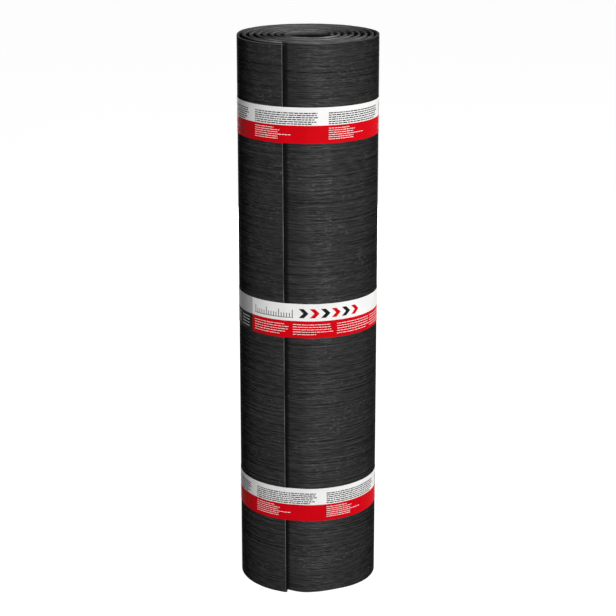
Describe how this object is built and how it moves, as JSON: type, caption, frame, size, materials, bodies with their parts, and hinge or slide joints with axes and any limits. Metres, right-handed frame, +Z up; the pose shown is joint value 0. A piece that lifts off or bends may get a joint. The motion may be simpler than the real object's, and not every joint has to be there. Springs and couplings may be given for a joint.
{
  "type": "roll of roofing felt",
  "caption": "Standing roll of bituminous roofing felt, loosely wound round an open bore, its free edge lapped down the side and held by printed paper bands.",
  "frame": {"origin": "on the floor, under the middle of the roll's outer size", "axes": "+Z up along the roll, -Y the front, where the free edge runs down the side a little towards -X, +X to the right seen from the front"},
  "size_m": [0.2492, 0.2492, 1.003],
  "materials": {
    "felt": "black bitumen sheet, dull with fine streaks along the sheet",
    "printed_paper": "paper printed white above and red below, slightly glossy"
  },
  "bodies": {
    "root": {"felt_roll": "felt", "band_bottom": "printed_paper", "band_middle": "printed_paper", "band_top": "printed_paper"}
  },
  "joints": []
}
